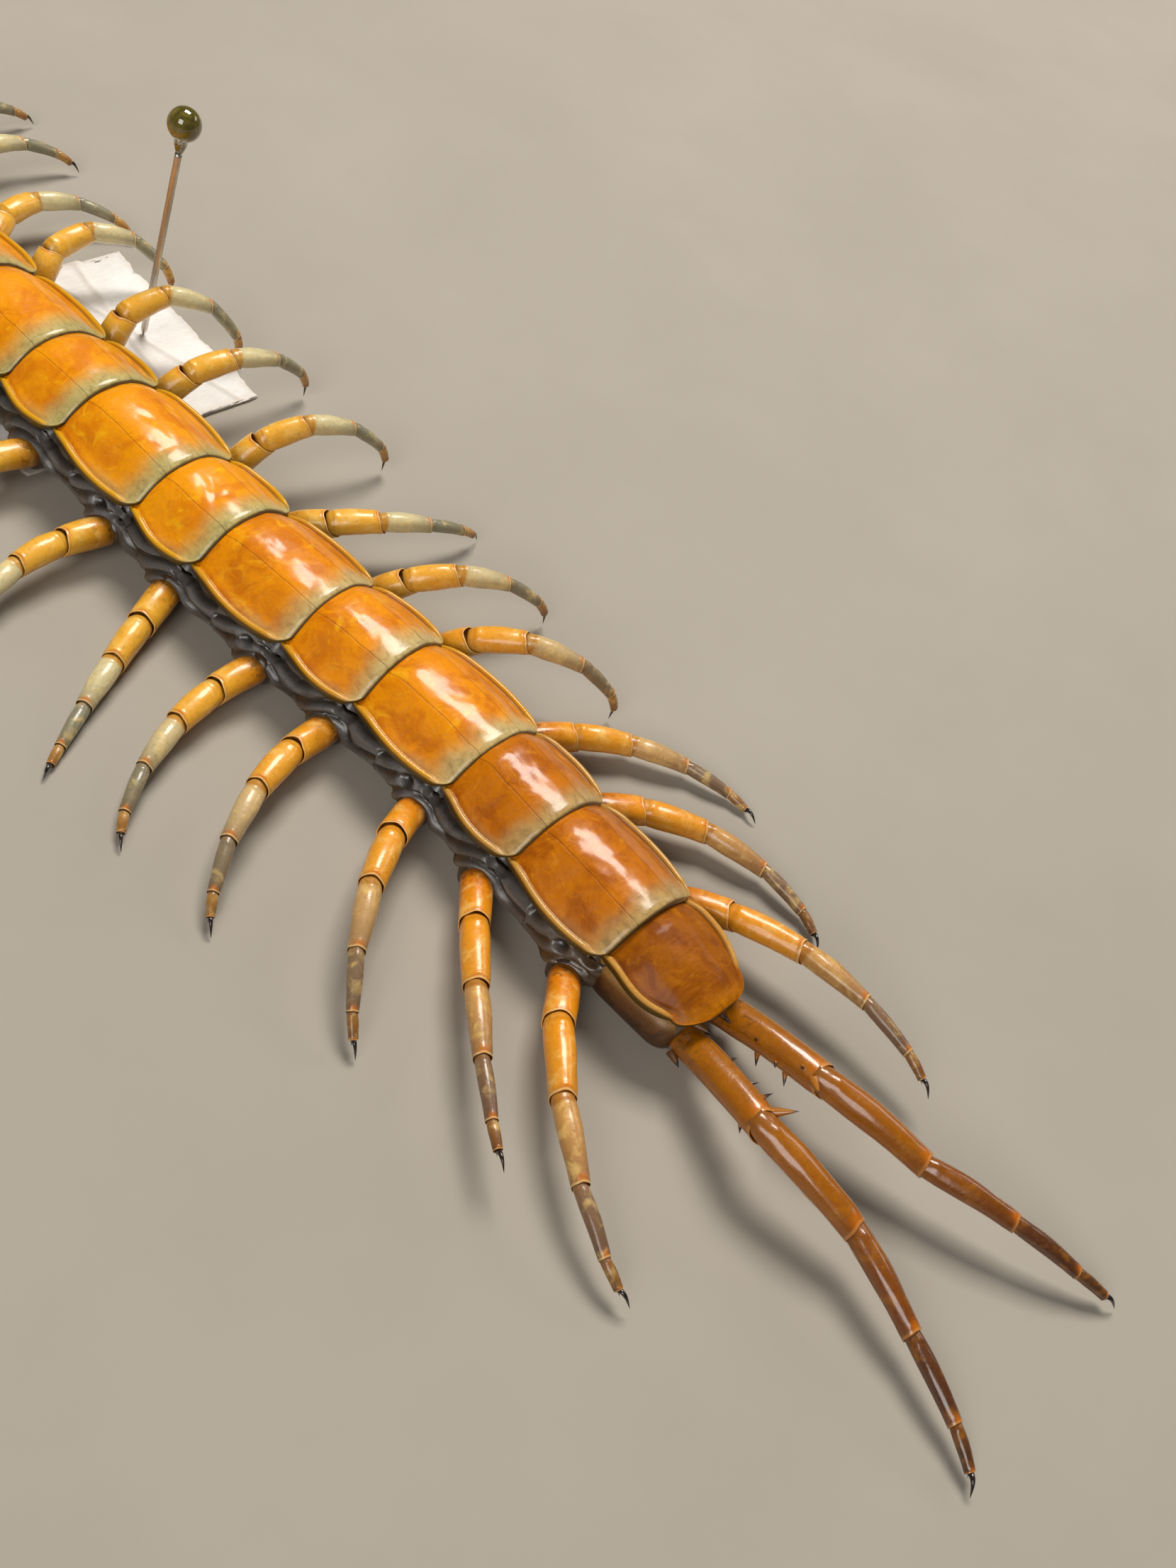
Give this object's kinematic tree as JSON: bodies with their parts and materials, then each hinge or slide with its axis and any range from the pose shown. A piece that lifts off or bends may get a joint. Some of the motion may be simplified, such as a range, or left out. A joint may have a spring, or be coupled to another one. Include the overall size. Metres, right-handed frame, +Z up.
{
  "type": "pinned giant centipede specimen",
  "caption": "Dried giant centipede laid flat with its legs spread, on its belly over a slip of folded paper, with a glass-headed pin upright beside it.",
  "frame": {"origin": "on the resting plane, below the middle of the ninth tergite's belly", "axes": "+Y along the body towards the head, +X to the animal's right, +Z up from the resting plane"},
  "size_m": [0.0561, 0.2453, 0.0249],
  "materials": {
    "tergite_front": "glossy amber orange horn with olive grey hind bands",
    "tergite_rear": "glossy chestnut orange horn with tan edges",
    "head_shell": "glossy red brown horn",
    "membrane": "wrinkled slate grey skin with a soft shine",
    "sternite": "satin yellow grey horn",
    "leg": "satin amber yellow horn, grey blue towards the feet",
    "last_leg": "glossy mahogany horn",
    "antenna": "satin olive grey horn",
    "claw": "glossy black brown horn",
    "eye": "glossy black lens",
    "steel": "polished steel wire",
    "bead": "dark olive glass with gold glints",
    "paper": "soft folded white paper"
  },
  "bodies": {
    "root": {"head": "head_shell", "forcipule_base": "head_shell", "forcipule_l": "head_shell", "forcipule_r": "head_shell", "antenna_l": "antenna", "antenna_r": "antenna", "trunk_1": "tergite_front", "trunk_2": "tergite_front", "trunk_3": "tergite_front", "trunk_4": "tergite_front", "trunk_5": "tergite_front", "trunk_6": "tergite_rear", "tail": "tergite_rear", "leg_l01": "leg", "leg_r01": "leg", "leg_l02": "leg", "leg_r02": "leg", "leg_l03": "leg", "leg_r03": "leg", "leg_l04": "leg", "leg_r04": "leg", "leg_l05": "leg", "leg_r05": "leg", "leg_l06": "leg", "leg_r06": "leg", "leg_l07": "leg", "leg_r07": "leg", "leg_l08": "leg", "leg_r08": "leg", "leg_l09": "leg", "leg_r09": "leg", "leg_l10": "leg", "leg_r10": "leg", "leg_l11": "leg", "leg_r11": "leg", "leg_l12": "leg", "leg_r12": "leg", "leg_l13": "leg", "leg_r13": "leg", "leg_l14": "leg", "leg_r14": "leg", "leg_l15": "leg", "leg_r15": "leg", "leg_l16": "leg", "leg_r16": "leg", "leg_l17": "leg", "leg_r17": "leg", "leg_l18": "leg", "leg_r18": "leg", "leg_l19": "leg", "leg_r19": "leg", "leg_l20": "leg", "leg_r20": "leg", "leg_l21": "last_leg", "leg_r21": "last_leg", "pin_shaft": "steel", "pin_bead": "bead", "paper": "paper"}
  },
  "joints": []
}
